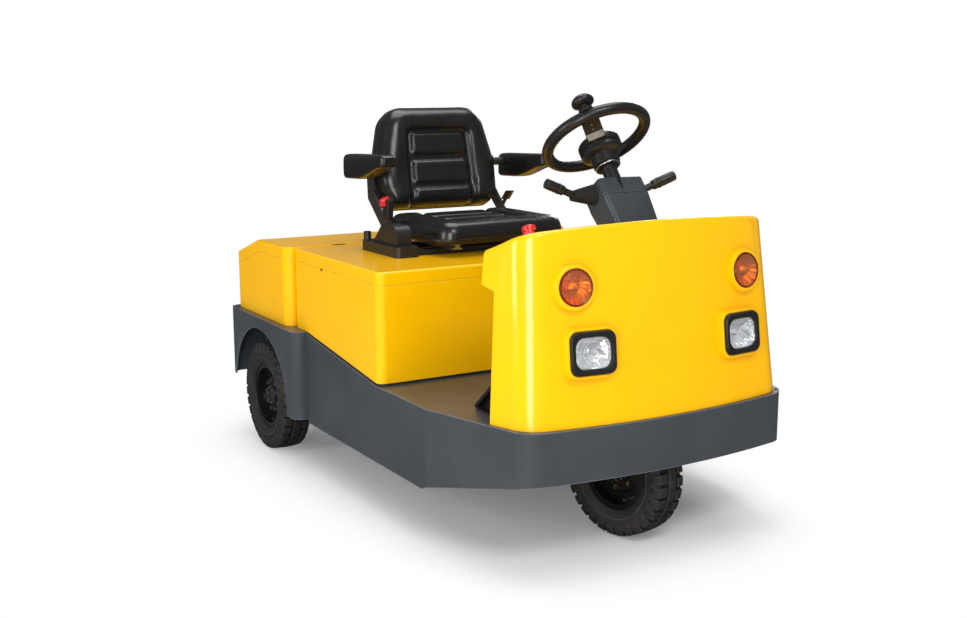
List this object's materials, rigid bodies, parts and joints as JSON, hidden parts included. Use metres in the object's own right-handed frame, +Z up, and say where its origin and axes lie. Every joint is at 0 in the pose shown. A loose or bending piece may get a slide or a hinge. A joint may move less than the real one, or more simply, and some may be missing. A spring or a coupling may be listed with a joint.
{
  "type": "ride-on electric tow tractor",
  "caption": "Three-wheel ride-on electric tow tractor with a front cowl, a seat on the battery lid, a rear hitch, hinged lids and a steered front wheel.",
  "frame": {"origin": "on the ground, centred under the tractor's overall box", "axes": "+Z up, -Y towards the front, +X to the driver's left"},
  "size_m": [1.286, 2.02, 1.3564],
  "materials": {
    "yellow_paint": "gloss",
    "grey_paint": "satin metallic",
    "frame_paint": "satin",
    "floor_coat": "gloss",
    "battery_case": "matte",
    "seal_rubber": "matte",
    "tyre_rubber": "matte",
    "rim_paint": "gloss",
    "black_plastic": "satin",
    "column_plastic": "satin",
    "vinyl": "satin",
    "bright_steel": "brushed",
    "red_plastic": "gloss",
    "amber_lens": "gloss",
    "clear_lens": "gloss",
    "hitch_steel": "satin"
  },
  "bodies": {
    "chassis": {"chassis_skirt": "grey_paint", "floor_plate": "floor_coat", "fenders": "grey_paint", "rear_deck": "grey_paint", "frame_rails": "frame_paint", "cross_members": "frame_paint", "steering_bearing": "frame_paint", "rear_axle": "frame_paint", "tow_hitch": "hitch_steel", "battery_box": "yellow_paint", "battery_block": "battery_case", "box_gasket": "seal_rubber", "tail_body": "yellow_paint", "cowl": "yellow_paint", "dash_panel": "column_plastic", "steering_tunnel": "floor_coat", "stop_button": "red_plastic", "indicator_lamps": "amber_lens", "headlight_frames": "black_plastic", "headlight_lenses": "clear_lens", "column_cover": "column_plastic", "column_head": "column_plastic", "column_tube": "bright_steel", "column_levers": "black_plastic", "pedals": "black_plastic"},
    "battery_lid": {"battery_lid": "yellow_paint", "seat_base": "black_plastic", "seat_rails": "bright_steel", "seat_pan": "black_plastic", "seat_cushion": "vinyl", "backrest_cushion": "vinyl", "backrest_shell": "black_plastic", "recliner_brackets": "frame_paint", "armrests": "vinyl", "belt_ends": "black_plastic"},
    "tail_lid": {"tail_lid": "yellow_paint"},
    "front_fork": {"front_fork": "frame_paint"},
    "front_wheel": {"front_rim": "rim_paint", "front_tyre": "tyre_rubber"},
    "left_wheel": {"left_rim": "rim_paint", "left_tyre": "tyre_rubber"},
    "right_wheel": {"right_rim": "rim_paint", "right_tyre": "tyre_rubber"},
    "steering_wheel": {"steering_wheel": "black_plastic", "spinner_knob": "black_plastic"}
  },
  "joints": [
    {"name": "front_steer", "type": "hinge", "parent": "chassis", "child": "front_fork", "pos_m": [0, -0.785, 0.207], "axis": [0, 0, 1], "range_deg": [-84.5, 65.5]},
    {"name": "front_wheel_spin", "type": "hinge", "parent": "front_fork", "child": "front_wheel", "pos_m": [0, -0.785, 0.207], "axis": [0.9863, 0.165, 0], "continuous": true},
    {"name": "rear_left_spin", "type": "hinge", "parent": "chassis", "child": "left_wheel", "pos_m": [0.57, 0.648, 0.207], "axis": [1, 0, 0], "continuous": true},
    {"name": "rear_right_spin", "type": "hinge", "parent": "chassis", "child": "right_wheel", "pos_m": [-0.57, 0.648, 0.207], "axis": [1, 0, 0], "continuous": true},
    {"name": "battery_lid_open", "type": "hinge", "parent": "chassis", "child": "battery_lid", "pos_m": [0.5955, 0.065, 0.759], "axis": [0, 1, 0], "range_deg": [0, 60]},
    {"name": "tail_lid_open", "type": "hinge", "parent": "chassis", "child": "tail_lid", "pos_m": [0, 0.9365, 0.68], "axis": [-1, 0, 0], "range_deg": [0, 70]},
    {"name": "steering_wheel_turn", "type": "hinge", "parent": "chassis", "child": "steering_wheel", "pos_m": [0, -0.618, 1.222], "axis": [0, 0.6018, 0.7986], "range_deg": [-845, 655]}
  ],
  "couplings": [
    {"joint": "steering_wheel_turn", "follows": "front_steer", "ratio": 10}
  ]
}
